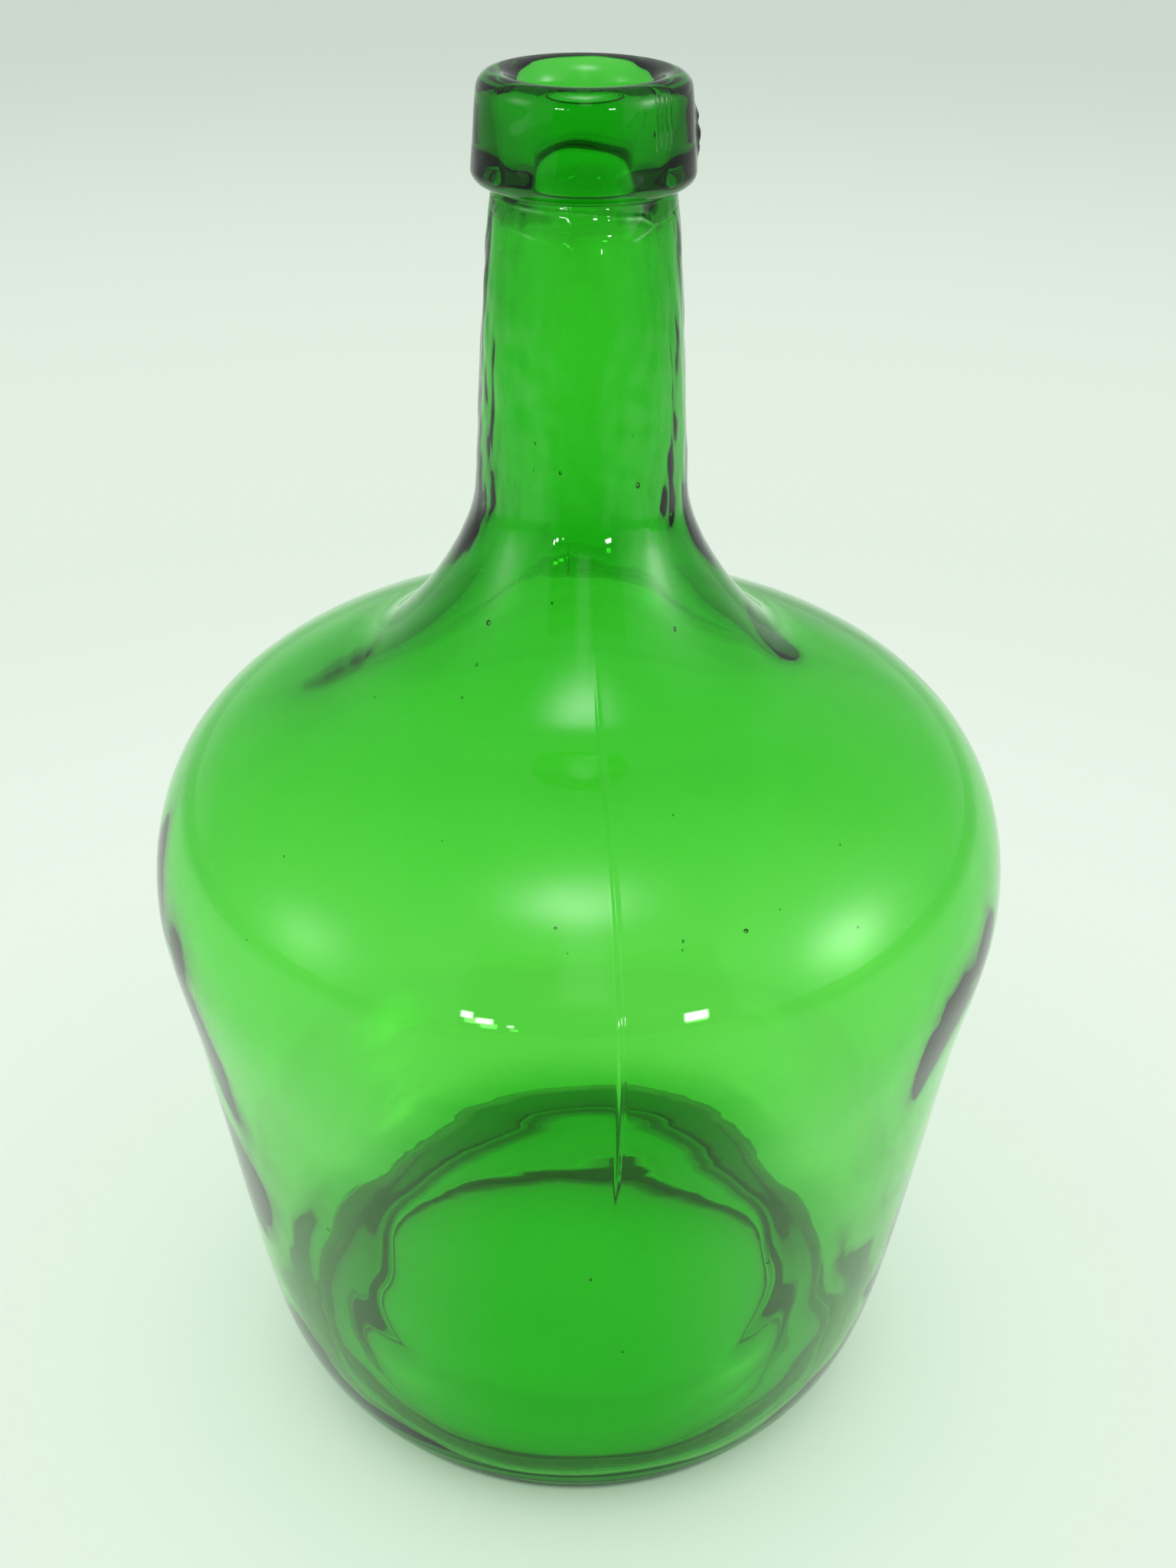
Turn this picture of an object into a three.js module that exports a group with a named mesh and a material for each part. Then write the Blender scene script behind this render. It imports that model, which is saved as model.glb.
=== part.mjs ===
// A five-litre demijohn of green glass in two pieces: the vessel, blown in a mould, and the ring of
// glass that was laid hot round the top of its neck and tooled into a collar.
// Millimetres, +Z up. The origin is the centre of the ring that the vessel stands on.

import * as THREE from "three";

// The foot: a flat resting ring round the punt, the hollow that is pushed up into the base
const restingRadius = 67.8;
const restingWidth = 4.8;
const puntRadius = 55;
const puntRise = 20;
const domeRise = 3;
const footRound = 1.8;
const footRun = 2.4;

// The side of the vessel, from the ground up. Each rise is counted from the end of the one before.
const heelRadius = 89.6;
const heelRise = 55.9;
const flankRadius = 100;
const flankRise = 66.3;
const bellyRadius = 104.6;
const bellyRise = 25;
const shoulderRadius = 53.4;
const shoulderRise = 58.7;
const neckRadius = 24.2;
const neckFootRise = 41.6;
const throatRadius = 19.6;
const neckRise = 67.8;

// The collar: a ring of glass round the last stretch of the neck
const collarHeight = 22.6;
const collarProud = 4.5;
const collarTaper = 1.3;
const collarTopRound = 3.9;
const collarFootRound = 2.7;
const collarSeat = 0.5;
const collarGap = 0.3;

// Where the ring's two ends overlap, the glass stands proud in a short upright lap.
const lapProud = 0.9;
const lapHeight = 11;
const lapWidth = 5;
const lapBelowRim = 12.5;
const lapAngle = 4;

// The glass is thick over the resting ring, thin in the side and thick again in the neck.
const baseWall = 4;
const puntWall = 6;
const puntEdgeWall = 4.5;
const heelWall = 9.5;
const troughOut = 2.7;
const sideWall = 3.4;
const bellyWall = 3.2;
const shoulderWall = 5;
const neckWall = 6;
const throatWall = 4.2;

// The bore narrows from the mouth to a waist inside the collar and flares out again below it.
const boreRadius = 13.3;
const funnelDepth = 5.5;
const waistRadius = 11.8;
const waistDepth = 19;
const boreFlare = 9.1;

// How the outline bends in each stretch: the two handles of a Bezier curve, each as a share of the
// stretch's run outwards and of its rise.
const footBend = [0.6, 0, 0.45, 0.55];
const heelBend = [0.56, 0.22, 0.31, 0.66];
const bellyBend = [0.46, 0.27, 0, 0.19];
const shoulderBend = [0, 0.52, 0.69, 0.18];
const neckFootBend = [0.37, 0.08, 0.03, 0.32];
const neckBend = [0.36, 0.45, 0.3, 0.12];
const domeBend = [0.5, 0, 0.4, 0.3];
const puntBend = [0.55, 0.12, 0.1, 0.5];
const floorBend = [0.5, 0, 0.3, 0.3];
const troughBend = [0.4, 0.12, 0.35, 0];
const innerHeelBend = [0.45, 0, 0.2, 0.62];
const flareBend = [0.1, 0.4, 0, 0.4];
const boreBend = [0, 0.33, 0.1, 0.33];
const funnelBend = [0, 0.6, 0.45, 0];
const straight = [1 / 3, 1 / 3, 1 / 3, 1 / 3];

// Facets: round the vessel, round the collar and along one bend
const vesselFacets = 48;
const collarFacets = 60;
const bendSteps = 6;
const roundSteps = 4;

const flankHeight = footRound + heelRise + flankRise;
const bellyHeight = flankHeight + bellyRise;
const shoulderHeight = bellyHeight + shoulderRise;
const neckFootHeight = shoulderHeight + neckFootRise;
const seatHeight = neckFootHeight + neckRise;
const rimHeight = seatHeight + collarGap + collarHeight;
const collarRadius = throatRadius + collarProud;
const collarTopRadius = collarRadius - collarTaper;
const rimCrestRadius = collarTopRadius - collarTopRound;

const at = (radius, height) => new THREE.Vector2(radius, height);

/** The points of a curve between two ends, which leaves out its first end. */
function bend(from, to, shares, steps = bendSteps) {
  const run = to.x - from.x;
  const rise = to.y - from.y;
  const leaving = at(from.x + shares[0] * run, from.y + shares[1] * rise);
  const arriving = at(to.x - shares[2] * run, to.y - shares[3] * rise);
  return new THREE.CubicBezierCurve(from, leaving, arriving, to).getPoints(steps).slice(1);
}

/** The points of a quarter round or less, clockwise from one angle to another, in degrees. */
function round(centre, radius, fromAngle, toAngle) {
  const points = [];
  for (let i = 0; i <= roundSteps; i += 1) {
    const angle = THREE.MathUtils.degToRad(fromAngle + ((toAngle - fromAngle) * i) / roundSteps);
    points.push(at(centre.x + radius * Math.cos(angle), centre.y + radius * Math.sin(angle)));
  }
  return points;
}

/** Turns an outline in the plane of the axis into a closed solid round the Z axis. */
function turned(outline, facets) {
  const geometry = new THREE.LatheGeometry(outline, facets);
  geometry.rotateX(Math.PI / 2);
  return geometry;
}

/** How high the collar's rounded top stands at a radius outside its crest. */
function rimHeightAt(radius) {
  const out = Math.max(radius - rimCrestRadius, 0);
  return rimHeight - collarTopRound + Math.sqrt(Math.max(collarTopRound ** 2 - out ** 2, 0));
}

/** The vessel's outer side, from the resting ring to the ledge that carries the collar. */
function vesselOutside() {
  const resting = at(restingRadius, 0);
  const foot = at(restingRadius + footRun, footRound);
  const heel = at(heelRadius, footRound + heelRise);
  const flank = at(flankRadius, flankHeight);
  const belly = at(bellyRadius, bellyHeight);
  const shoulder = at(shoulderRadius, shoulderHeight);
  const neckFoot = at(neckRadius, neckFootHeight);
  const throat = at(throatRadius, seatHeight - collarSeat);
  return [
    resting,
    ...bend(resting, foot, footBend, roundSteps),
    ...bend(foot, heel, heelBend),
    flank,
    ...bend(flank, belly, bellyBend, roundSteps),
    ...bend(belly, shoulder, shoulderBend, 2 * bendSteps),
    ...bend(shoulder, neckFoot, neckFootBend),
    ...bend(neckFoot, throat, neckBend),
    at(throatRadius, seatHeight),
  ];
}

/** The inside of the vessel, from the mouth down to the middle of the floor. */
function vesselInside() {
  const shoulderRun = bellyRadius - shoulderRadius;
  const slope = Math.atan2(shoulderBend[3] * shoulderRise, shoulderBend[2] * shoulderRun);
  const crest = at(rimCrestRadius, rimHeight);
  const bore = at(boreRadius, rimHeight - funnelDepth);
  const waist = at(waistRadius, rimHeight - waistDepth);
  const throat = at(throatRadius - throatWall, seatHeight - boreFlare);
  const neckFoot = at(neckRadius - neckWall, neckFootHeight);
  const shoulder = at(
    shoulderRadius - shoulderWall * Math.sin(slope),
    shoulderHeight - shoulderWall * Math.cos(slope),
  );
  const belly = at(bellyRadius - bellyWall, bellyHeight);
  const flank = at(flankRadius - bellyWall, flankHeight);
  const heel = at(heelRadius - sideWall, footRound + heelRise);
  const trough = at(restingRadius + troughOut, heelWall);
  const puntEdge = at(puntRadius + puntWall, puntRise + puntEdgeWall);
  const middle = at(0, puntRise + domeRise + baseWall);
  const upwards = [
    ...bend(middle, puntEdge, floorBend),
    ...bend(puntEdge, trough, troughBend),
    ...bend(trough, heel, innerHeelBend),
    flank,
    ...bend(flank, belly, bellyBend, roundSteps),
    ...bend(belly, shoulder, shoulderBend, 2 * bendSteps),
    ...bend(shoulder, neckFoot, neckFootBend),
    ...bend(neckFoot, throat, neckBend),
    ...bend(throat, waist, flareBend, roundSteps),
    ...bend(waist, bore, boreBend, roundSteps),
    ...bend(bore, crest, funnelBend),
  ];
  return [...upwards.reverse(), middle];
}

/** The vessel: punt, foot, heel, side, shoulder and neck, hollow and open at the mouth. */
function vessel() {
  const domeTop = at(0, puntRise + domeRise);
  const puntEdge = at(puntRadius, puntRise);
  const puntFoot = at(restingRadius - restingWidth, 0);
  const neckEnd = throatRadius - collarSeat;
  return turned(
    [
      domeTop,
      ...bend(domeTop, puntEdge, domeBend),
      ...bend(puntEdge, puntFoot, puntBend),
      ...vesselOutside(),
      at(neckEnd, seatHeight),
      at(neckEnd, rimHeightAt(neckEnd)),
      ...vesselInside(),
    ],
    vesselFacets,
  );
}

/** The collar: a ring that stands on the ledge of the neck, with its lap drawn out on one side. */
function collar() {
  const inner = throatRadius - collarSeat + collarGap;
  const foot = seatHeight + collarGap;
  const outline = [
    at(inner, foot),
    ...round(at(collarRadius - collarFootRound, foot + collarFootRound), collarFootRound, -90, 0),
    ...bend(
      at(collarRadius, foot + collarFootRound),
      at(collarTopRadius, rimHeight - collarTopRound),
      straight,
    ),
    ...round(at(rimCrestRadius, rimHeight - collarTopRound), collarTopRound, 0, 90).filter(
      (point) => point.x > inner + collarGap,
    ),
    at(inner, rimHeightAt(inner)),
    at(inner, foot),
  ];
  const geometry = turned(outline, collarFacets);
  drawOutLap(geometry, inner);
  return geometry;
}

/** Moves the ring's outer skin outwards in a soft upright bulge where its ends overlap. */
function drawOutLap(geometry, inner) {
  const position = geometry.getAttribute("position");
  const point = new THREE.Vector3();
  for (let i = 0; i < position.count; i += 1) {
    point.fromBufferAttribute(position, i);
    const radius = Math.hypot(point.x, point.y);
    const angle = Math.atan2(point.y, point.x) - THREE.MathUtils.degToRad(lapAngle);
    const across = (2 * radius * Math.asin(Math.sin(angle / 2))) / lapWidth;
    const along = (2 * (point.z - (rimHeight - lapBelowRim))) / lapHeight;
    if (radius > inner + collarGap) {
      const swell = lapProud * Math.exp(-(across ** 2) - along ** 4);
      point.setX(point.x * (1 + swell / radius));
      point.setY(point.y * (1 + swell / radius));
      position.setXYZ(i, point.x, point.y, point.z);
    }
  }
  geometry.computeVertexNormals();
}

const glassGreen = new THREE.MeshStandardMaterial({
  color: 0x3fbf2f,
  roughness: 0.04,
  metalness: 0,
  transparent: true,
  opacity: 0.45,
});
const collarGreen = glassGreen.clone();
collarGreen.color.set(0x159018);
collarGreen.opacity = 0.7;

const demijohn = new THREE.Group();
const glassBody = new THREE.Mesh(vessel(), glassGreen);
glassBody.name = "glass_body";
const lipRing = new THREE.Mesh(collar(), collarGreen);
lipRing.name = "lip_ring";
demijohn.add(glassBody, lipRing);

export default demijohn;
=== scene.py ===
import math

import bpy
import numpy as np
from mathutils import Matrix, Vector


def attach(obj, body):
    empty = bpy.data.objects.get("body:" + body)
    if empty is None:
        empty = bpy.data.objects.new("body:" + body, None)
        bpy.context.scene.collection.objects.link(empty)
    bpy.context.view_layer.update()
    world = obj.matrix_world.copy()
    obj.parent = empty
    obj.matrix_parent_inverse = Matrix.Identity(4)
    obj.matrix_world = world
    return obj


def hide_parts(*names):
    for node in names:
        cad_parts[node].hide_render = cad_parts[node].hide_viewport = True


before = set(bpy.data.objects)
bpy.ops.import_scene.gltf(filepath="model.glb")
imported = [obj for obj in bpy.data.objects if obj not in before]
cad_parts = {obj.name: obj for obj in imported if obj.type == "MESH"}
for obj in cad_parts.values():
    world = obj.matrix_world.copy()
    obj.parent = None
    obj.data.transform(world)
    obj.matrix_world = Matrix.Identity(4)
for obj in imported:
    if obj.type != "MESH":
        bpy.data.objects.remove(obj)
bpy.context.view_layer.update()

# The view
# The camera stands half a metre in front of the demijohn and above its mouth, looking down at it.
# Its place, turn and lens were fitted to the outline in the photograph.
VIEW_FROM = Vector((0, -0.44185, 0.42016))
VIEW_DOWN = math.radians(29.487)
VIEW_LEFT = math.radians(-0.27)
VIEW_ROLL = math.radians(0.54)

view = bpy.data.objects.new("view", bpy.data.cameras.new("view"))
bpy.context.scene.collection.objects.link(view)
bpy.context.scene.camera = view
view.data.sensor_fit = "AUTO"
view.data.sensor_width = 36
view.data.lens = 47.11
view.data.clip_start = 0.01
view.data.clip_end = 50
view.data.dof.use_dof = False
turn = (
    Matrix.Rotation(VIEW_LEFT, 4, "Z")
    @ Matrix.Rotation(math.pi / 2 - VIEW_DOWN, 4, "X")
    @ Matrix.Rotation(VIEW_ROLL, 4, "Z")
)
view.matrix_world = Matrix.Translation(VIEW_FROM) @ turn


# The table and the light tent
# The demijohn stands on a sheet of matt white card in a tent of white cloth. The front of the tent
# is open to a dark room, and a soft lamp shines through the cloth on either side.
def linear(hex_colour):
    """An sRGB hex colour as the linear colour that Blender works in."""
    shares = [int(hex_colour[i : i + 2], 16) / 255 for i in (1, 3, 5)]
    return (*[c / 12.92 if c <= 0.04045 else ((c + 0.055) / 1.055) ** 2.4 for c in shares], 1)


def node(tree, kind, *inputs, **settings):
    """Adds a node with its settings, links or sets its inputs in order, and gives its first output."""
    made = tree.nodes.new("ShaderNode" + kind)
    for name, value in settings.items():
        setattr(made, name, value)
    for socket, value in zip([s for s in made.inputs if s.enabled], inputs):
        if isinstance(value, bpy.types.NodeSocket):
            tree.links.new(value, socket)
        elif value is not None:
            socket.default_value = value
    outputs = [s for s in made.outputs if s.enabled]
    return outputs[0] if outputs else None


def add_object(name, data):
    made = bpy.data.objects.new(name, data)
    bpy.context.scene.collection.objects.link(made)
    return made


def mirror_share(tree, ray, crossings=0):
    """1 where the light path came off the near glass as in a mirror, and 0 where it went through.

    With 2 crossings it also counts what comes off the inner side of the near wall.
    """
    turns = node(tree, "Math", ray["Ray Depth"], ray["Transmission Depth"], operation="SUBTRACT")
    mirrored = node(tree, "Math", turns, 0.5, operation="GREATER_THAN")
    near = node(tree, "Math", ray["Transmission Depth"], crossings + 0.5, operation="LESS_THAN")
    first = node(tree, "Math", ray["Diffuse Depth"], 0.5, operation="LESS_THAN")
    near = node(tree, "Math", near, first, operation="MULTIPLY")
    return node(tree, "Math", mirrored, near, operation="MULTIPLY")


# The card is uncoated board: it scatters light evenly and has no highlight. It is palest round the
# demijohn, and painted greyer far out as painted shade, where less of the tent's light falls on it.
# Distances from the middle are in metres.
CARD_NEAR = "#F0FAF0"
CARD_PAINTED_SHADE_FAR_OUT = ((0.1, 0.6, "#E1EEE1"), (0.6, 2.2, "#CAD5CB"))
# Hardly any light gets in under the resting ring: where its dark sets in inside and gives way outside
RING_DARK_INSIDE = (0.061, 0.0635)
RING_DARK_OUTSIDE = (0.068, 0.07)
RING_DARK = 0.75
RING_SHADE = "#273027"
# The glass mirrors the card darker than it is: a fifth as bright in front, where the photograph shows
# the dark room in it, half as bright far out at the sides, and nearly as it is behind. The camera
# itself sees pale card everywhere. Angles are in radians from the camera's side.
FRONT_EDGE = (0.15, 1.1)
FRONT_DULL = 0.2
FAR_OUT = (0.8, 1.5)
BACK_EDGE = (2.0, 2.8)
FAR_DULL = (0.5, 0.9)
# The light that the glass gathers under itself and throws round its foot, which the renderer leaves out
GATHERED = "#19791D"
GATHERED_EDGE = (0.057, 0.063)
THROWN = "#555957"
THROWN_EDGE = (0.07, 0.2)

matt_card = bpy.data.materials.new("matt_white_card")
matt_card.use_nodes = True
tree = matt_card.node_tree
card = tree.nodes["Principled BSDF"]
card.inputs["Roughness"].default_value = 0.9
card.inputs["Specular IOR Level"].default_value = 0.0
spot = node(tree, "TexCoord").node.outputs["Object"]
reach = node(tree, "VectorMath", spot, operation="LENGTH").node.outputs["Value"]
ray = node(tree, "LightPath").node.outputs
shade = linear(CARD_NEAR)
# Painted shade: the card's colour greys far out, standing in for the tent's light falling off there
for start, end, colour in CARD_PAINTED_SHADE_FAR_OUT:
    away = node(tree, "MapRange", reach, start, end, 0, 1, interpolation_type="SMOOTHSTEP")
    shade = node(tree, "Mix", away, shade, linear(colour), data_type="RGBA")
within = node(tree, "MapRange", reach, *RING_DARK_INSIDE, 0, RING_DARK, interpolation_type="SMOOTHSTEP")
beyond = node(tree, "MapRange", reach, *RING_DARK_OUTSIDE, 1, 0, interpolation_type="SMOOTHSTEP")
under = node(tree, "Math", within, beyond, operation="MULTIPLY")
shade = node(tree, "Mix", under, shade, linear(RING_SHADE), data_type="RGBA")

across, along, _ = node(tree, "SeparateXYZ", spot).node.outputs
across = node(tree, "Math", across, operation="ABSOLUTE")
along = node(tree, "Math", along, -1.0, operation="MULTIPLY")
turned = node(tree, "Math", across, along, operation="ARCTAN2")
aside = node(tree, "MapRange", turned, *FRONT_EDGE, FRONT_DULL, 1, interpolation_type="SMOOTHSTEP")
least = node(tree, "MapRange", turned, *BACK_EDGE, *FAR_DULL, interpolation_type="SMOOTHSTEP")
far = node(tree, "MapRange", reach, *FAR_OUT, 1, least, interpolation_type="SMOOTHSTEP")
dull = node(tree, "Math", aside, far, operation="MULTIPLY")
dull = node(tree, "Mix", mirror_share(tree, ray), 1.0, dull)
tint = node(tree, "Mix", 1.0, shade, dull, data_type="RGBA", blend_type="MULTIPLY")
tree.links.new(tint, card.inputs["Base Color"])

thrown = node(tree, "MapRange", reach, *THROWN_EDGE, 1, 0, interpolation_type="SMOOTHSTEP")
thrown = node(tree, "Mix", thrown, linear("#000000"), linear(THROWN), data_type="RGBA")
inside_ring = node(tree, "MapRange", reach, *GATHERED_EDGE, 1, 0, interpolation_type="SMOOTHSTEP")
gathered = node(tree, "Mix", inside_ring, thrown, linear(GATHERED), data_type="RGBA")
gathered = node(tree, "Mix", under, gathered, linear("#000000"), data_type="RGBA")
tree.links.new(gathered, card.inputs["Emission Color"])
card.inputs["Emission Strength"].default_value = 1

# The card lies a twentieth of a millimetre below the resting ring, so that the two don't share a plane
CARD_RADIUS = 6
CARD_CORNERS = 96
CARD_TOP = -0.00005
table_mesh = bpy.data.meshes.new("table")
corners = np.linspace(0, 2 * math.pi, CARD_CORNERS + 1)[:-1]
ring = [(CARD_RADIUS * math.cos(a), CARD_RADIUS * math.sin(a), CARD_TOP) for a in corners]
table_mesh.from_pydata(ring, [], [list(range(CARD_CORNERS))])
table_mesh.materials.append(matt_card)
table = add_object("table", table_mesh)

# The tent's cloth is dim, but pale behind and most of all low down there. Angles are in degrees:
# azimuth from the camera's side to the right, and elevation.
CLOTH = "#8B958E"
CLOTH_BEHIND = "#D4DED6"
BEHIND = (0.2, 0.9)
LOW_DOWN = (0, 12)
PALE_HIGHER_UP = 0.45
CLOTH_OVERHEAD = "#868B89"
OVERHEAD = (35, 80)
# The opening to the dark room: left, right, low and high edge, and how soft the edge is
OPENING = (-29, 38, -40, 40, 1.5)
DARK_ROOM = "#424245"
# The lamps behind the cloth: azimuth, elevation, spread and strength. Each has a wide faint halo.
LAMPS = ((-73, 13, 8, 1.7), (-73, 16, 20, 0.3), (74, 14, 8, 4.0), (74, 18, 20, 0.8))
ROOF_LAMP = (-2, 66, 8, 4.6)
# The bright windows of the dark room: left, right, low and high edge, and strength
WINDOWS = (
    (-28.5, -25.5, 2.8, 6.0, 24),
    (-24.5, -20.5, 0.8, 3.6, 20),
    (-17, -15.3, 0.2, 1.4, 16),
    (25.5, 31, 1.6, 5.6, 22),
)
WINDOW_SOFTNESS = 0.5
# A pale strip of the roof runs towards the camera: its edges and how soft they are
STRIP = (-4, 8, 14, 66, 4)
STRIP_STRENGTH = 0.5
# The light that falls on the card, and the end of the tent that the camera sees past the card
TENT_LIGHT = 1.03
TENT_END = "#C8D3C9"

tent = bpy.data.worlds.new("light_tent")
bpy.context.scene.world = tent
tent.use_nodes = True
tree = tent.node_tree
tree.nodes.clear()
ray = node(tree, "LightPath").node.outputs
facing = node(tree, "TexCoord")
across, along, up = node(tree, "SeparateXYZ", facing).node.outputs
to_front = node(tree, "Math", along, -1.0, operation="MULTIPLY")
turned = node(tree, "Math", across, to_front, operation="ARCTAN2")
azimuth = node(tree, "Math", turned, 180 / math.pi, operation="MULTIPLY")
raised = node(tree, "Math", up, operation="ARCSINE")
elevation = node(tree, "Math", raised, 180 / math.pi, operation="MULTIPLY")


def patch(left, right, low, high, soft):
    """1 inside a patch of the tent, and 0 outside its soft edges."""
    share = 1.0
    edges = ((azimuth, left, 1), (azimuth, right, -1), (elevation, low, 1), (elevation, high, -1))
    for value, edge, turn_over in edges:
        start, end = edge - soft * turn_over, edge + soft * turn_over
        within = node(tree, "MapRange", value, start, end, 0, 1, interpolation_type="SMOOTHSTEP")
        share = node(tree, "Math", share, within, operation="MULTIPLY")
    return share


def glow(az, el, spread, strength):
    """A round soft light behind the cloth, which fades over about spread degrees."""
    a, e = math.radians(az), math.radians(el)
    middle = (math.sin(a) * math.cos(e), -math.cos(a) * math.cos(e), math.sin(e))
    near = node(tree, "VectorMath", facing, middle, operation="DOT_PRODUCT").node.outputs["Value"]
    off = node(tree, "Math", near, 1.0, operation="SUBTRACT")
    falling = node(tree, "Math", off, math.radians(spread) ** 2, operation="DIVIDE")
    bell = node(tree, "Math", falling, operation="EXPONENT")
    return node(tree, "Math", bell, strength, operation="MULTIPLY")


behind = node(tree, "MapRange", along, *BEHIND, 0, 1, interpolation_type="SMOOTHSTEP")
level = node(tree, "MapRange", elevation, *LOW_DOWN, 1, PALE_HIGHER_UP, interpolation_type="SMOOTHSTEP")
behind = node(tree, "Math", behind, level, operation="MULTIPLY")
walls = node(tree, "Mix", behind, linear(CLOTH), linear(CLOTH_BEHIND), data_type="RGBA")
# Only the outer skin of the glass mirrors the dark roof with its lamp and strip. Both skins of the
# near wall mirror the opening and its windows. What comes through the glass has neither.
outer = mirror_share(tree, ray)
both_sides = mirror_share(tree, ray, 2)
high = node(tree, "MapRange", elevation, *OVERHEAD, 0, 1, interpolation_type="SMOOTHSTEP")
high = node(tree, "Math", high, outer, operation="MULTIPLY")
cloth = node(tree, "Mix", high, walls, linear(CLOTH_OVERHEAD), data_type="RGBA")
opening = node(tree, "Math", patch(*OPENING), both_sides, operation="MULTIPLY")
room = node(tree, "Mix", opening, cloth, linear(DARK_ROOM), data_type="RGBA")
light = 0.0
for lamp in LAMPS:
    light = node(tree, "Math", light, glow(*lamp), operation="ADD")
roof = node(tree, "Math", glow(*ROOF_LAMP), outer, operation="MULTIPLY")
light = node(tree, "Math", light, roof, operation="ADD")
for *edges, strength in WINDOWS:
    window = node(tree, "Math", patch(*edges, WINDOW_SOFTNESS), strength, operation="MULTIPLY")
    window = node(tree, "Math", window, both_sides, operation="MULTIPLY")
    light = node(tree, "Math", light, window, operation="ADD")
strip = node(tree, "Math", patch(*STRIP), STRIP_STRENGTH, operation="MULTIPLY")
strip = node(tree, "Math", strip, outer, operation="MULTIPLY")
light = node(tree, "Math", light, strip, operation="ADD")
mirrored = node(tree, "Mix", 1.0, room, light, data_type="RGBA", blend_type="ADD")

# What lights the card and what the camera sees past its end are plain
lighting = node(tree, "Math", ray["Diffuse Depth"], 0.5, operation="GREATER_THAN")
looking = node(tree, "Math", ray["Is Glossy Ray"], ray["Is Transmission Ray"], operation="MAXIMUM")
sampled = node(tree, "Math", looking, 0.5, operation="LESS_THAN")
lighting = node(tree, "Math", lighting, sampled, operation="MAXIMUM")
even_light = (TENT_LIGHT, TENT_LIGHT, TENT_LIGHT, 1)
seen = node(tree, "Mix", lighting, mirrored, even_light, data_type="RGBA")
seen = node(tree, "Mix", ray["Is Camera Ray"], seen, linear(TENT_END), data_type="RGBA")
node(tree, "OutputWorld", node(tree, "Background", seen))


# The glass
# Soda-lime bottle glass, coloured emerald by chromium and smooth from the fire. It darkens with the
# light's way through it, so thin sides are bright and thick parts dark, and each skin tints it a bit.
GLASS_SKIN = "#CBFFB5"
GLASS_DEPTH = "#7CEA6F"
GLASS_DEPTH_PER_METRE = 250
GLASS_SHADOW = "#EFFFEF"

emerald_glass = bpy.data.materials.new("emerald_soda_lime_glass")
emerald_glass.use_nodes = True
tree = emerald_glass.node_tree
body = tree.nodes["Principled BSDF"]
body.inputs["Base Color"].default_value = linear(GLASS_SKIN)
body.inputs["Roughness"].default_value = 0.0
body.inputs["IOR"].default_value = 1.52
body.inputs["Transmission Weight"].default_value = 1.0
green = node(tree, "VolumeAbsorption", linear(GLASS_DEPTH), GLASS_DEPTH_PER_METRE)
tree.links.new(green, tree.nodes["Material Output"].inputs["Volume"])
# Glass this thin lets the light of the tent through to the card, so its shadow is only a pale tint
shadow = node(tree, "LightPath").node.outputs["Is Shadow Ray"]
passing = node(tree, "BsdfTransparent", linear(GLASS_SHADOW))
surface = node(tree, "MixShader", shadow, body.outputs[0], passing)
tree.links.new(surface, tree.nodes["Material Output"].inputs["Surface"])


# The vessel and its collar
# One skin of glass. The vessel was blown in a two-part mould, its base pushed up to stand on a ring,
# and a ring of glass was laid hot round the top of its neck and tooled to a collar. Millimetres.
def bend(start, end, shares, steps=24):
    """Points of a curve between two ends. The shares place its handles, as in the solid."""
    (x0, z0), (x1, z1) = start, end
    run, rise = x1 - x0, z1 - z0
    handles = np.array(
        [
            (x0, z0),
            (x0 + shares[0] * run, z0 + shares[1] * rise),
            (x1 - shares[2] * run, z1 - shares[3] * rise),
            (x1, z1),
        ]
    )
    t = np.linspace(0, 1, steps + 1)[1:, None]
    weights = np.hstack([(1 - t) ** 3, 3 * t * (1 - t) ** 2, 3 * t * t * (1 - t), t**3])
    return [tuple(p) for p in weights @ handles]


def round_off(centre, radius, start, end, steps=10):
    """Points of an arc about a centre, between two angles in degrees."""
    angles = np.radians(np.linspace(start, end, steps + 1))
    return [(centre[0] + radius * math.cos(a), centre[1] + radius * math.sin(a)) for a in angles]


# Places on the outside, each a radius and a height. They are the solids' own, but for the flank, which
# is rounded here, and the end of the neck, which runs into the collar.
DOME_TOP = (0, 23)
PUNT_EDGE = (55, 20)
RING_INNER = (63, 0)
RING_OUTER = (67.8, 0)
FOOT = (70.2, 1.8)
HEEL = (89.6, 57.7)
FLANK_LOW = (98.44, 114)
FLANK_HIGH = (102.24, 132.9)
BELLY = (104.6, 149)
SHOULDER = (53.4, 207.7)
NECK_FOOT = (24.2, 249.3)
NECK_END = (19.9, 316.0)
JOINT = ((19.75, 316.7), (20.0, 317.15))
COLLAR_FOOT = (24.1, 320.1)
COLLAR_FOOT_CENTRE = (21.4, 320.1)
COLLAR_FOOT_ROUND = 2.7
COLLAR_TOP = (22.8, 336.1)
COLLAR_TOP_CENTRE = (18.9, 336.1)
COLLAR_TOP_ROUND = 3.9
EVEN = (1 / 3, 1 / 3, 1 / 3, 1 / 3)
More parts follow.
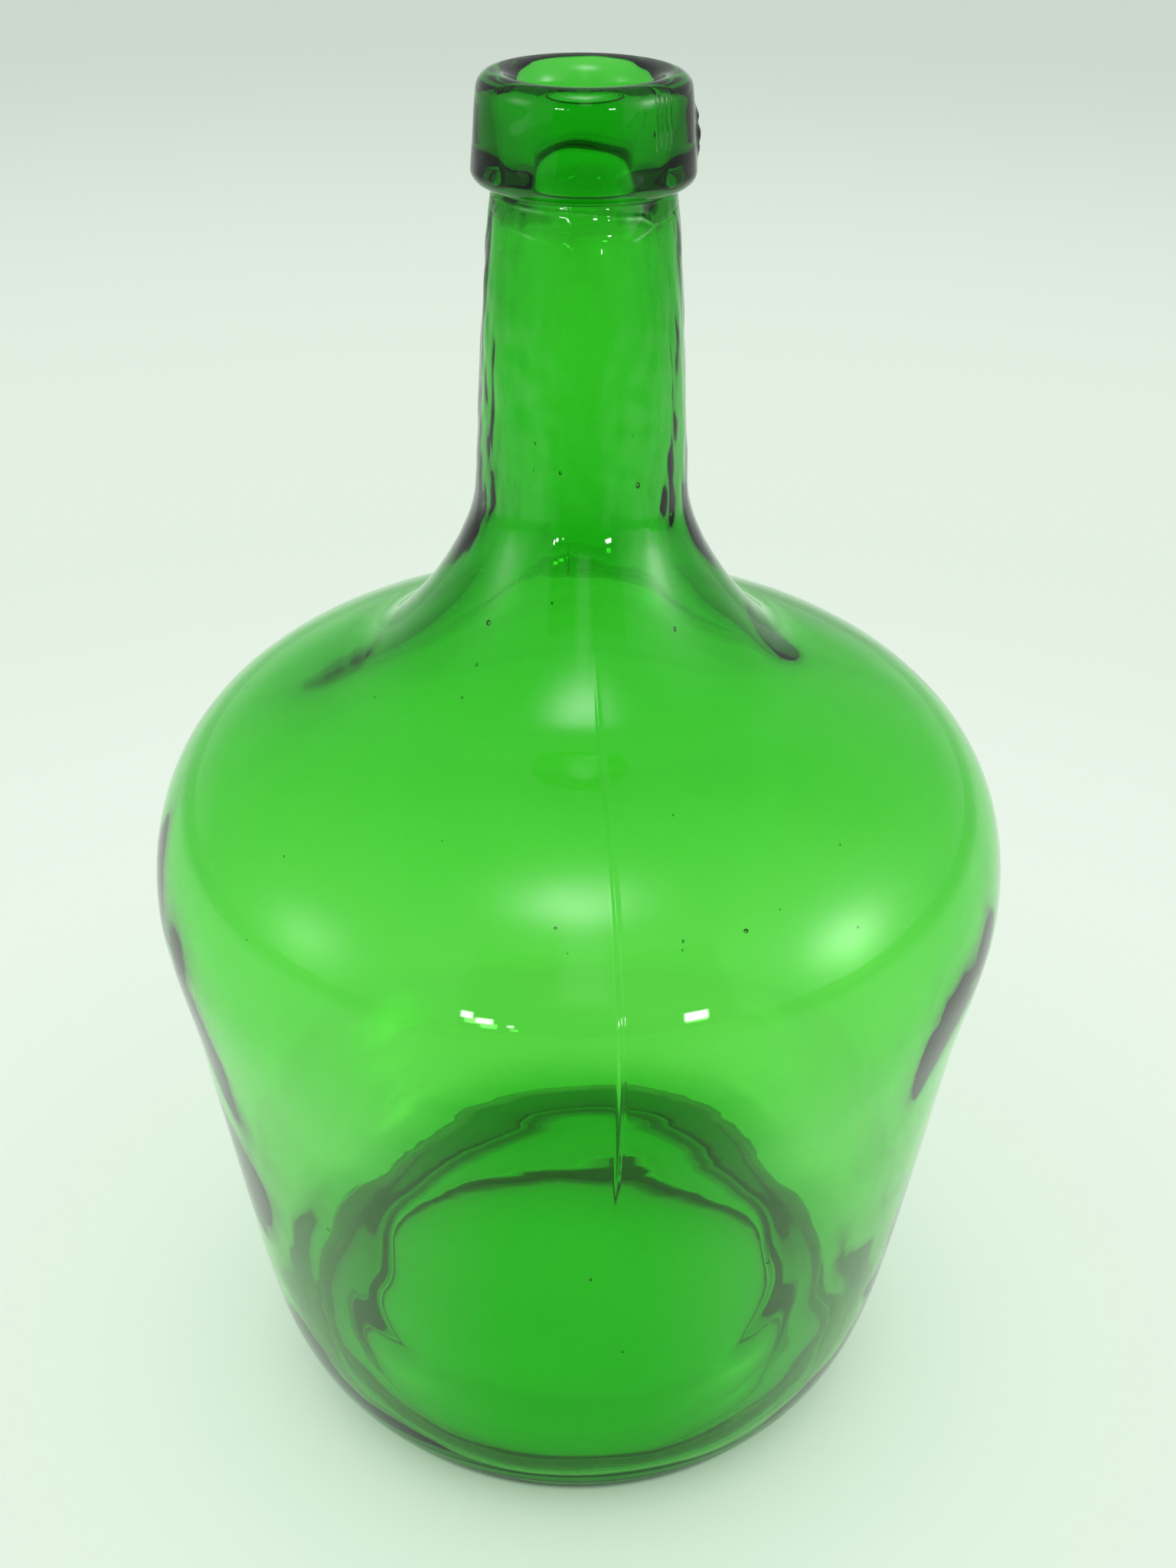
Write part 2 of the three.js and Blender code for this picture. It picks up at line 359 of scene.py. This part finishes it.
outside = [
    DOME_TOP,
    *bend(DOME_TOP, PUNT_EDGE, (0.5, 0, 0.4, 0.3)),
    *bend(PUNT_EDGE, RING_INNER, (0.55, 0.12, 0.1, 0.5)),
    *bend(RING_INNER, RING_OUTER, EVEN, 4),
    *bend(RING_OUTER, FOOT, (0.6, 0, 0.45, 0.55), 8),
    *bend(FOOT, HEEL, (0.56, 0.22, 0.31, 0.66), 40),
    *bend(HEEL, FLANK_LOW, EVEN, 24),
    *bend(FLANK_LOW, FLANK_HIGH, (0.26, 0.33, 0.35, 0.33), 14),
    *bend(FLANK_HIGH, BELLY, (0.555, 0.387, 0, 0.193), 14),
    *bend(BELLY, SHOULDER, (0, 0.52, 0.69, 0.18), 60),
    *bend(SHOULDER, NECK_FOOT, (0.37, 0.08, 0.03, 0.32), 40),
    *bend(NECK_FOOT, NECK_END, (0.36, 0.45, 0.3, 0.12), 40),
    *JOINT,
    *round_off(COLLAR_FOOT_CENTRE, COLLAR_FOOT_ROUND, -90, 0),
    *bend(COLLAR_FOOT, COLLAR_TOP, EVEN, 12),
    *round_off(COLLAR_TOP_CENTRE, COLLAR_TOP_ROUND, 0, 90, 14),
]


def fade(value, low, high):
    """0 below low and 1 above high, with a smooth rise between."""
    t = np.clip((value - low) / (high - low), 0, 1)
    return t * t * (3 - 2 * t)


# The wall: heights on the outside and how thick the glass is there, thickest at the neck's foot. What
# lies between is smoothed over WALL_SMOOTHED points of the outline, an odd number.
WALL = (
    (57, 2.0), (85, 2.0), (120, 2.2), (150, 2.5), (172, 2.7), (186, 3.4), (199, 4.6), (208, 5.8),
    (218, 7.4), (228, 8.3), (240, 7.6), (250, 6.6), (262, 5.8), (284, 5.4), (309, 5.6),
)
WALL_SMOOTHED = 25
side = np.array([p for p in outside if WALL[0][0] < p[1] < WALL[-1][0]])
wall = np.interp(side[:, 1], *zip(*WALL))
soft = np.hanning(WALL_SMOOTHED) / np.hanning(WALL_SMOOTHED).sum()
wall = np.convolve(np.pad(wall, WALL_SMOOTHED // 2, mode="edge"), soft, mode="valid")
lean = np.gradient(side, axis=0)
lean /= np.hypot(*lean.T)[:, None]
side = side - wall[:, None] * np.stack([lean[:, 1], -lean[:, 0]], -1)
low, throat = tuple(side[0]), tuple(side[-1])

# Places on the inside, from the crest of the collar down the bore to the middle of the floor
CREST = (18.9, 340)
MOUTH = (13.3, 334.5)
WAIST = (11.8, 320)
TROUGH = (70.5, 9.5)
PUNT_INSIDE = (60.5, 23.6)
FLOOR_MIDDLE = (0, 26)
inside = [
    *bend(CREST, MOUTH, (0.45, 0, 0, 0.6), 12),
    *bend(MOUTH, WAIST, (0.15, 0.4, 0, 0.33), 12),
    *bend(WAIST, throat, (0, 0.5, 0.1, 0.3), 16),
    *[tuple(p) for p in side[-2::-1]],
    *bend(low, TROUGH, (0.27, 0.62, 0.45, 0), 40),
    *bend(TROUGH, PUNT_INSIDE, (0.35, 0, 0.4, 0.12), 24),
    *bend(PUNT_INSIDE, FLOOR_MIDDLE, (0.3, 0.3, 0.5, 0)),
]


def spaced(line, gap):
    """Points along an outline, about gap(radius, height) apart."""
    line = np.array(line)
    length = np.concatenate([[0], np.cumsum(np.hypot(*np.diff(line, axis=0).T))])
    fine = np.linspace(0, length[-1], 6000)
    r, z = np.interp(fine, length, line[:, 0]), np.interp(fine, length, line[:, 1])
    count = np.concatenate([[0], np.cumsum(np.diff(fine) / gap(r, z)[:-1])])
    at = np.interp(np.linspace(0, count[-1], int(count[-1]) + 1), count, fine)
    return at, np.interp(at, fine, r), np.interp(at, fine, z)


def outside_gap(r, z):
    """Gaps on the collar, joint, neck, punt with the top of the shoulder, foot, heel, and the rest."""
    where = [z > 317, z > 306, (r < 26) & (z > 200), r < 48, z < 18, z < 60]
    return np.select(where, [0.66, 0.36, 1.7, 6.0, 1.3, 2.6], 3.8)


def inside_gap(r, z):
    """Gaps in the bore, neck, middle of the floor, trough, heel, and the rest."""
    where = [z > 306, z > 225, (r < 54) & (z < 40), z < 28, z < 60]
    return np.select(where, [1.1, 2.6, 6.0, 1.3, 2.6], 5.0)


# Angles round the axis in degrees, from the right-hand side: the two mould seams, the lap of the
# collar and the creases beside it. The points stand closer there: middle, reach either way and count.
SEAMS = (-85, 95)
LAP = 4
CREASES = -46
EVERY = 2.0
CLOSER = ((SEAMS[0], 1.2, 13), (SEAMS[1], 1.2, 9), (LAP, 6, 25), (CREASES, 9, 37))
turns = [np.arange(0, 360, EVERY)]
for middle, width, count in CLOSER:
    turns.append((middle + np.linspace(-width, width, count)) % 360)
turns = np.unique(np.round(np.concatenate(turns), 3))
turns = turns[np.concatenate([[True], np.diff(turns) > 0.1])]
turns = np.radians(turns)

rng = np.random.default_rng(7)
WAVES = 48


def waves(points, shortest, longest, squeeze=(1, 1, 1)):
    """A smooth random swell through space, of about unit size, with waves of these lengths."""
    total = np.zeros(points.shape[:-1])
    for _ in range(WAVES):
        way = rng.normal(size=3)
        way *= 2 * math.pi / rng.uniform(shortest, longest) / np.linalg.norm(way)
        total += np.cos(points @ (way * np.array(squeeze)) + rng.uniform(0, 2 * math.pi))
    return total / math.sqrt(WAVES / 2)


def round_from(a, middle):
    """How far round the axis an angle is from a middle in degrees, in radians."""
    return (a - math.radians(middle) + math.pi) % (2 * math.pi) - math.pi


def skin(at, r, z, marks):
    """The points of a surface of revolution, each moved along the outline's normal."""
    dr, dz = np.gradient(r, at), np.gradient(z, at)
    size = np.hypot(dr, dz)
    a = np.repeat(turns[None, :], len(at), 0)
    rr = np.repeat(r[:, None], len(turns), 1)
    zz = np.repeat(z[:, None], len(turns), 1)
    off = marks(np.stack([rr * np.cos(a), rr * np.sin(a), zz], -1), a, rr, zz) * fade(rr, 2, 12)
    rr = rr + off * (dz / size)[:, None]
    zz = zz - off * (dr / size)[:, None]
    return np.stack([rr * np.cos(a), rr * np.sin(a), zz], -1)


def crease(along, across, path, depth, width):
    """A groove along a path of (along, across) points, which fades out at its ends."""
    path = np.array(path)
    first, last = path[0, 0], path[-1, 0]
    end = 0.15 * (last - first)
    open_part = fade(along, first, first + end) * (1 - fade(along, last - end, last))
    middle = np.interp(along, path[:, 0], path[:, 1])
    return -depth * open_part * np.exp(-(((across - middle) / width) ** 2))


# The joint under the collar and the drag lines below it, as degrees from the front and heights, each
# with its depth and half its width
JOINT_LINE = ((-110, 316.0), (-70, 315.5), (0, 315.3), (37, 313.8), (47, 311.8), (62, 312.5), (100, 315.0))
DRAG_LINES = (
    (JOINT_LINE, 0.13, 0.3),
    (((-22, 311.2), (0, 310.8), (24, 311.3)), 0.06, 0.25),
    (((-80, 312.5), (-45, 310.8), (-18, 309.2)), 0.08, 0.28),
    (((30, 309.4), (42, 311.0), (52, 313.0)), 0.1, 0.28),
)


def outer_marks(points, a, r, z):
    """Faint waves, wrinkles of the drawn neck, the mould seams, and the collar's joint, creases and lap."""
    standing = fade(z, 1.5, 8)
    side = fade(r, 22, 30)
    # The slow waves go mostly inwards, so that the belly stays inside the solids' box
    off = 0.06 * (waves(points, 40, 100) - 1.5) * standing * side
    off += 0.012 * waves(points, 8, 20) * standing * side
    neck = (1 - side) * fade(z, 230, 250) * (1 - fade(z, 314, 318))
    off += neck * 0.06 * waves(points, 6, 16, (1, 1, 0.3))
    off += neck * 0.05 * waves(points, 2.8, 6, (1, 1, 0.4))
    off += 0.02 * waves(points, 3, 7) * fade(z, 226, 238) * (1 - fade(z, 304, 310))
    collar = fade(z, 317, 320) * (1 - fade(z, 336, 339))
    off += collar * 0.05 * waves(points, 6, 18)
    for seam in SEAMS:
        ridge = np.exp(-((round_from(a, seam) * r / 0.5) ** 2))
        off += 0.28 * ridge * fade(z, 112, 135) * (1 - fade(z, 208, 222))
    turned = np.degrees(round_from(a, -90))
    for path, depth, width in DRAG_LINES:
        off += crease(turned, z, path, depth, width)
    # Four upright creases that the tool left in the collar, in degrees from the front
    band = fade(z, 318, 322)
    for start, shift in ((38.5, 0), (41.5, 0.6), (45, -0.5), (49, 0.4)):
        path = [(327 + shift, start), (331, start + 1.3), (334, start + 0.4), (338.5, start + 1.8)]
        off += band * crease(z, turned, path, 0.13, 0.55)
    # The lap: a sharp, notched tongue of glass on the right
    across = round_from(a, LAP) * r / 1.5
    along = (z - 327.5) / 5.0
    notched = 1 - 0.45 * np.exp(-(((z - 329.2) / 0.9) ** 2)) - 0.3 * np.exp(-(((z - 325) / 0.7) ** 2))
    off += 1.1 * notched * np.exp(-(across**2) - along**4) * fade(r, 20.5, 22)
    return off


# Two thick places inside the shoulder, a long one on the left and a short one on the right: angle,
# reach round in radians, radius, reach outwards and depth
THICK_PLACES = ((171, 0.42, 64, 17, 2.2), (10, 0.25, 46, 8, 1.2))


def inner_marks(points, a, r, z):
    """The slow waves that the blowing leaves inside, and the places where the glass lies thicker."""
    side = fade(r, 24, 40)
    off = 0.22 * waves(points, 60, 140) * side
    off += 0.05 * waves(points, 20, 50) * side
    neck = (1 - side) * fade(z, 225, 240) * (1 - fade(z, 316, 330) * 0.6)
    off += neck * 0.16 * waves(points, 8, 22, (1, 1, 0.25))
    # Glass fills the trough round the punt on the far side, a little more on the left than on the right
    far = fade(np.sin(a), -1.1, 0.7) * (1 + 0.15 * np.cos(a - math.radians(125)))
    off += 8.0 * far * np.exp(-((r - 70) ** 2 + (z - 15) ** 2) / 9**2)
    for middle, reach_round, radius, reach_out, depth in THICK_PLACES:
        thick = np.exp(-((round_from(a, middle) / reach_round) ** 2) - ((r - radius) / reach_out) ** 2)
        off += depth * thick * fade(z, 185, 200)
    # The mould left a grain in that filled trough
    grain = np.exp(-((r - 72) ** 2 + (z - 14) ** 2) / 14**2) * fade(np.sin(a), -0.1, 0.5)
    off += 0.1 * grain * waves(points, 6, 12)
    return off


def quads(grid):
    """The four-cornered faces between the rows of a grid of points that closes round an axis."""
    beside = np.roll(grid, -1, 1)
    return np.stack([grid[:-1], beside[:-1], beside[1:], grid[1:]], -1).reshape(-1, 4).tolist()


outer_skin = skin(*spaced(outside, outside_gap), outer_marks)[1:]
inner_skin = skin(*spaced(inside, inside_gap), inner_marks)[1:-1]
rows = np.concatenate([outer_skin, inner_skin])
count, round_count = rows.shape[:2]
tips = [[0, 0, outside[0][1]], [0, 0, inside[-1][1]]]
points = [rows.reshape(-1, 3), tips]
grid = np.arange(count * round_count).reshape(count, round_count)
beside = np.roll(grid, -1, 1)
faces = quads(grid)
dome, floor = count * round_count, count * round_count + 1
faces += [(dome, int(b), int(g)) for g, b in zip(grid[0], beside[0])]
faces += [(floor, int(g), int(b)) for g, b in zip(grid[-1], beside[-1])]

# Seeds: small gas bubbles inside the wall, drawn out upwards in the side and the neck and flat in the
# shoulder. The ones that show in the photograph: angle, height, width and length. The rest are strewn.
SEEDS = (
    (-58, 256.4, 1.1, 1.5), (-33, 247, 0.8, 1.1), (-128, 226, 1.2, 1.5), (-52, 225, 0.9, 1.4),
    (-68, 184, 1.2, 0.8), (-93, 187, 0.8, 0.6), (-88, 96, 0.7, 1.0), (-62, 91, 1.1, 1.4),
    (-128, 92, 1, 1),
)
STREWN = 40
SEED_DEPTH = 1.2
SEED_ROWS = (62, 22, -22, -62)
SEED_SIDES = 8
MM_PER_METRE = 1000
seeds = list(SEEDS)
for _ in range(STREWN):
    width = rng.uniform(0.35, 0.8)
    seeds.append((rng.uniform(-180, 180), rng.uniform(62, 300), width, width * rng.uniform(0.9, 1.8)))
line = np.array([p for p in outside if 2 < p[1] < 316])
up = np.repeat(np.radians(SEED_ROWS), SEED_SIDES)
about = np.tile(np.radians(np.arange(0, 360, 360 / SEED_SIDES)), len(SEED_ROWS))
ball = np.stack([np.cos(up) * np.cos(about), np.cos(up) * np.sin(about), np.sin(up)], -1)
start = floor + 1
for turned, height, width, length in seeds:
    a = math.radians(turned)
    radius = np.interp(height, line[:, 1], line[:, 0]) - SEED_DEPTH
    bubble = ball * [width / 2, width / 2, length / 2]
    points.append(bubble + [radius * math.cos(a), radius * math.sin(a), height])
    grid = start + np.arange(len(ball)).reshape(len(SEED_ROWS), SEED_SIDES)
    faces += quads(grid)
    faces += [grid[0, ::-1].tolist(), grid[-1].tolist()]
    start += len(ball)
points = np.concatenate(points) / MM_PER_METRE
glass_mesh = bpy.data.meshes.new("vessel")
glass_mesh.from_pydata(points.tolist(), [], faces)
glass_mesh.polygons.foreach_set("use_smooth", [True] * len(glass_mesh.polygons))
glass_mesh.materials.append(emerald_glass)
glass_mesh.update()
vessel = add_object("vessel_with_collar", glass_mesh)
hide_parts("glass_body", "lip_ring")
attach(vessel, "root")

# Light may cross the walls of the glass often before it is dropped
bpy.context.scene.cycles.transparent_max_bounces = 24
bpy.context.scene.cycles.max_bounces = 16
bpy.context.scene.cycles.transmission_bounces = 16
bpy.context.scene.view_settings.view_transform = "Standard"
